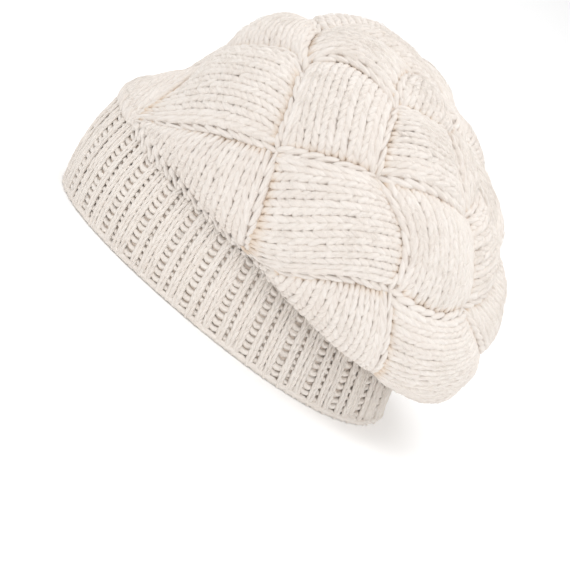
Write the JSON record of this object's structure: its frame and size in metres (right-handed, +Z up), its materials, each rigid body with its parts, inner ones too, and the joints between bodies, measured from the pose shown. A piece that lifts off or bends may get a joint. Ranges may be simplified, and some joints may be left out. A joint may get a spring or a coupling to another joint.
{
  "type": "knit beret",
  "caption": "Chunky hand-knit beret in cream wool with a ribbed head band and a slouchy crown of basket-weave blocks.",
  "frame": {"origin": "centre of the bounding box in X and Y, on the plane of the cast-on edge that it rests on", "axes": "+Z up from the opening to the crown, -Y toward the wearer's forehead, +Y toward the nape, +X toward the wearer's left"},
  "size_m": [0.1984, 0.2214, 0.1539],
  "materials": {
    "wool": "soft, slightly fuzzy two-strand wool, matt"
  },
  "bodies": {
    "root": {"ribbed_band": "wool", "base_triangle_1": "wool", "base_triangle_2": "wool", "base_triangle_3": "wool", "base_triangle_4": "wool", "base_triangle_5": "wool", "base_triangle_6": "wool", "tier_1_block_1": "wool", "tier_1_block_2": "wool", "tier_1_block_3": "wool", "tier_1_block_4": "wool", "tier_1_block_5": "wool", "tier_1_block_6": "wool", "tier_2_block_1": "wool", "tier_2_block_2": "wool", "tier_2_block_3": "wool", "tier_2_block_4": "wool", "tier_2_block_5": "wool", "tier_2_block_6": "wool", "tier_3_block_1": "wool", "tier_3_block_2": "wool", "tier_3_block_3": "wool", "tier_3_block_4": "wool", "tier_3_block_5": "wool", "tier_3_block_6": "wool", "tier_4_block_1": "wool", "tier_4_block_2": "wool", "tier_4_block_3": "wool", "tier_4_block_4": "wool", "tier_4_block_5": "wool", "tier_4_block_6": "wool", "crown_tip": "wool"}
  },
  "joints": []
}
